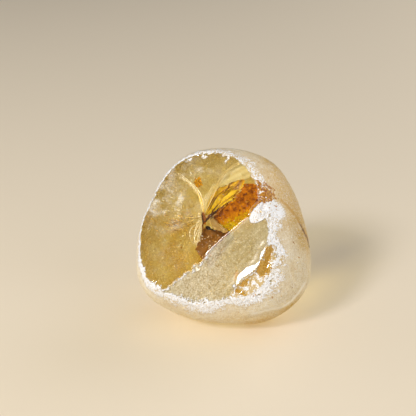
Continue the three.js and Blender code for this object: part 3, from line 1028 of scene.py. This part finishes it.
def orange_spot():
    """A cluster of stained slivers upper left of the focus."""
    source = np.random.default_rng(5)
    slivers = Slivers()
    for _ in range(46):
        middle = SPOT_MIDDLE + source.normal(0, (0.55, 0.8, 0.4))
        way = np.array((0.15, -0.5, 0)) + source.normal(0, 0.2, 3)
        slivers.add(straight(middle - way, middle + way, count=5), 0.5, source.uniform(0, 1))
    slivers.piece("orange_spot", tinted("orange_crack", ((176, 116, 0), (208, 152, 0)), 0.5, 0.1))


def dark_streaks(source):
    """The brown streaks round the focus, and the black spot under them."""
    material = tinted("dark_crack", ((26, 12, 0), (112, 60, 4), (176, 104, 12)), 0.35, 0.06)
    slivers = Slivers()
    for k, (start, end, width, tone) in enumerate(DARK_STREAKS):
        path = straight(start, end, wobble=0.3, seed=k)
        slivers.add(path, width, tone, -INWARD + source.normal(0, 0.3, 3))
    slivers.piece("dark_streaks", material)
    spot = Slivers()
    spot.add(straight((-6.2, 4.2, 1.0), (-4.2, 3.3, 1.0)), 1.3, -0.3, thick=0.3)
    spot.add(straight((-5.0, 3.6, 1.0), (-2.8, 2.9, 1.0)), 0.5, -0.3)
    spot.piece("black_spot", material)


def pale_threads(source):
    """Fine bright crack edges."""
    slivers = Slivers()
    add_prism(source, slivers)
    add_faint_threads(source, slivers)
    for k in range(5):  # blades along the left edges of the fan and the lens
        line = np.array(BLADE_LINE[: 5 - k // 2]) - (0.55 * k, -0.2 * k)
        spots = [(*along_line(line, t), 5.0 - 2.0 * t) for t in np.linspace(0, 1, 16)]
        slivers.add([inside(*spot) for spot in spots], 0.24, source.uniform(0.3, 1))
    add_pale_crack(source, slivers)
    middle = np.mean(LENS_OUTLINE, axis=0)
    for k in range(4):  # round the lens
        line = (np.array(LENS_EDGE) - middle) * (1.0 + 0.1 * k) + middle
        path = [inside(*along_line(line, t), LENS_EDGE_DEPTH) for t in np.linspace(0, 1, 20)]
        slivers.add(path, 0.16, 0.7 - 0.3 * (k % 2))
    pale = ((190, 160, 84), (232, 208, 140), (255, 244, 214))
    slivers.piece("pale_threads", tinted("pale_crack", pale, 0.25))


def add_prism(source, slivers):
    """The spindle-shaped prism: threads that bow ever further to the right."""
    for k in range(6):
        bow = -5.0 + 1.3 * k + source.normal(0, 0.15)
        x, y = PRISM_TOP
        top = np.array((x + source.normal(0, 0.3), y - source.uniform(0, 2.4), PRISM_DEPTH))
        x, y = PRISM_END
        end = np.array((x + source.normal(0, 0.3), y + source.uniform(0, 1.6), PRISM_DEPTH))
        bend = (top + end) / 2 + (bow, source.normal(0, 0.8), 0)
        slivers.add(curve(top, bend, end, count=12, wobble=0.1, seed=k), 0.18, 1.2)


def add_faint_threads(source, slivers):
    """Long faint threads from the focus to the lower left."""
    for _ in range(16):
        angle = math.radians(source.uniform(150, 225))
        reach = source.uniform(4, 12)
        start = FOCUS + source.normal(0, 0.8, 3)
        end = start + np.array((math.cos(angle), math.sin(angle), 0.1)) * reach
        bend = (start + end) / 2 + source.normal(0, (0.5, 0.5, 0.4))
        slivers.add(curve(start, bend, end), 0.2, source.uniform(0.1, 0.6))


def add_pale_crack(source, slivers):
    """Two thin lines, and flakes along their upper part."""
    for k in range(2):
        line = [np.array((*along_line(PALE_CRACK, t), 5.0 - 3.4 * t)) for t in np.linspace(0, 1, 18)]
        line = [spot + source.normal(0, 0.05, 3) + (0.7 * k, 0, 0) for spot in line]
        slivers.add([inside(*spot) for spot in line], 0.3, 1.0)
    for _ in range(70):
        share = source.uniform(0.4, 1)
        middle = np.array((*along_line(PALE_CRACK, share), 5.0 - 3.6 * share))
        middle += source.normal(0, 0.3, 3) - (0.2, 0, 0)
        way = np.array((-0.6, 0.6, 0)) + source.normal(0, 0.5, 3)
        way *= source.uniform(0.15, 0.6)
        slivers.add(straight(middle - way, middle + way, count=5), 0.16, source.uniform(0.2, 1.2))


def sparkles(source):
    """Tiny bright flecks, in clouds."""
    slivers = Slivers()
    for place, spread, count in CLOUDS:
        for _ in range(count):
            middle = place + source.normal(0, spread)
            middle[2] = max(middle[2], LEAST_FLECK_DEPTH)
            way = source.normal(0, 0.16, 3)
            path = [inside(*(middle + way * t)) for t in (-1, -0.3, 0.3, 1)]
            slivers.add(path, source.uniform(0.12, 0.3), source.uniform(0, 1), thick=0.08)
    slivers.piece("sparkles", tinted("bright_flecks", ((222, 200, 144), (255, 250, 236)), 0.3))


def ripples(source):
    """Golden-brown ripples in the window's left half."""
    slivers = Slivers()
    for _ in range(90):
        middle = RIPPLES_MIDDLE + source.normal(0, (3.6, 1.6, 1.2))
        way = np.array((1.0, -0.35 + 0.05 * (middle[0] + 15), 0)) + source.normal(0, 0.25, 3)
        way *= source.uniform(0.3, 1.1)
        bend = middle + source.normal(0, (0.2, 0.5, 0.2))
        slivers.add(curve(middle - way, bend, middle + way, count=6), 0.25, source.uniform(0, 1))
    amber = ((116, 80, 14), (176, 134, 46), (206, 170, 76))
    slivers.piece("brown_ripples", tinted("amber_crack", amber, 0.4, 0.1))


def veils():
    """The dark wedge of painted shade below the focus, the beige triangle above it and the lens over
    the fan.
    """
    # Painted shade: the wedge's dark brown stands in for the shaded far side seen bent through the
    # quartz.
    wedge_shade = tinted("smoky_quartz", ((36, 18, 0), (92, 54, 4), (126, 80, 10)), 0.35, 0.08, 0.4, 2.0)
    sheet("smoky_wedge", WEDGE_SHADE_OUTLINE, lambda x, y: 6.9 + 0.1 * y,
          lambda x, y: 0.12 + 0.88 * ramp(-x - 0.5 * y, -3.0, 2.5), wedge_shade)
    beige = tinted("beige_crack", ((140, 104, 40), (168, 132, 60)), 0.35, 0.2)
    sheet("beige_triangle", BEIGE_OUTLINE, lambda x, y: 6.6, lambda x, y: 0.5, beige, ragged=0.3)
    veil = tinted("pale_veil", ((188, 168, 106), (212, 198, 148)), 0.35, 0.2)
    sheet("pale_lens", LENS_OUTLINE, lambda x, y: 5.2 - 0.04 * (x - 4) ** 2,
          lambda x, y: 0.5 + 0.4 * math.sin(3.0 * y - 1.5 * x), veil, ragged=0.3)


def fill_stone():
    source = np.random.default_rng(21)
    noise.seed_set(21)
    golden_fan(source)
    rusty_crack(source)
    orange_spot()
    dark_streaks(source)
    pale_threads(source)
    sparkles(source)
    ripples(source)
    veils()


# ---- Studio ----
FLOOR_REACH = 6.0  # in metres
FLOOR_PAINT = (226, 212, 190)
SKY_COLOUR = (0.86, 0.92, 1.0, 1)
SKY_STRENGTH = 0.14
# Square soft lamps: their way from the stone, size in metres, watts and colour.
LAMP_DISTANCE = 1.0
LAMPS = {
    "key": ((-0.52, -0.62, 0.59), 0.2, 9.9, (1.0, 0.97, 0.91)),
    "fill": ((0.75, -0.5, 0.45), 0.8, 3.0, (1.0, 0.99, 0.97)),
    "back": ((0.75, 0.55, 0.45), 0.8, 5.2, (1.0, 0.98, 0.95)),
    "left": ((-0.9, 0.35, 0.25), 0.5, 1.2, (1.0, 0.98, 0.95)),
}
# The camera looks along -OUT; its place is measured along RIGHT, UP and OUT.
CAMERA_PLACE = np.array((-5.63, 36.63, 364.4))
SENSOR_WIDTH = 36
LENS = 86.5


def studio():
    floor_mesh = bpy.data.meshes.new("floor")
    corners = [(x * FLOOR_REACH, y * FLOOR_REACH, 0) for x, y in ((-1, -1), (1, -1), (1, 1), (-1, 1))]
    floor_mesh.from_pydata(corners, [], [(0, 1, 2, 3)])
    floor = put_in_scene("floor", floor_mesh)
    make = Maker("floor_paint")
    paint = make.add("BsdfPrincipled", {"Base Color": rgb(*FLOOR_PAINT), "Roughness": 0.6})
    make.fill(make.output.inputs["Surface"], paint.outputs[0])
    floor_mesh.materials.append(make.material)

    world = bpy.data.worlds.new("soft_light")
    bpy.context.scene.world = world
    world.use_nodes = True
    background = world.node_tree.nodes["Background"]
    background.inputs["Color"].default_value = SKY_COLOUR
    background.inputs["Strength"].default_value = SKY_STRENGTH
    for name, looks in LAMPS.items():
        lamp(name, *looks)


def lamp(name, way, size, power, colour):
    light = bpy.data.lights.new(name, "AREA")
    light.size = size
    light.energy = power
    light.color = colour
    holder = put_in_scene(name, light)
    way = Vector(way).normalized()
    holder.location = Vector(MIDDLE * MM) + way * LAMP_DISTANCE
    holder.rotation_euler = way.to_track_quat("Z", "Y").to_euler()


def camera():
    data = bpy.data.cameras.new("camera")
    data.sensor_width = SENSOR_WIDTH
    data.lens = LENS
    holder = put_in_scene("camera", data)
    holder.location = CAMERA_PLACE @ LEAN_AXES * MM
    holder.rotation_euler = (math.pi / 2 - LEAN, 0, 0)
    bpy.context.scene.camera = holder


camera()
studio()
stone = fine_copy(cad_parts["seer_stone"])
stone.data.materials.append(Quartz(shape_stone(stone.data)).finish())
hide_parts("seer_stone")
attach(stone, "root")
SURFACE = BVHTree.FromPolygons(  # what lies inside stays under this
    [Vector(place) for place in to_lean(read_points(stone.data))],
    [tuple(face.vertices) for face in stone.data.polygons],
)
fill_stone()

bpy.context.scene.view_settings.view_transform = "Standard"

bpy.context.view_layer.update()
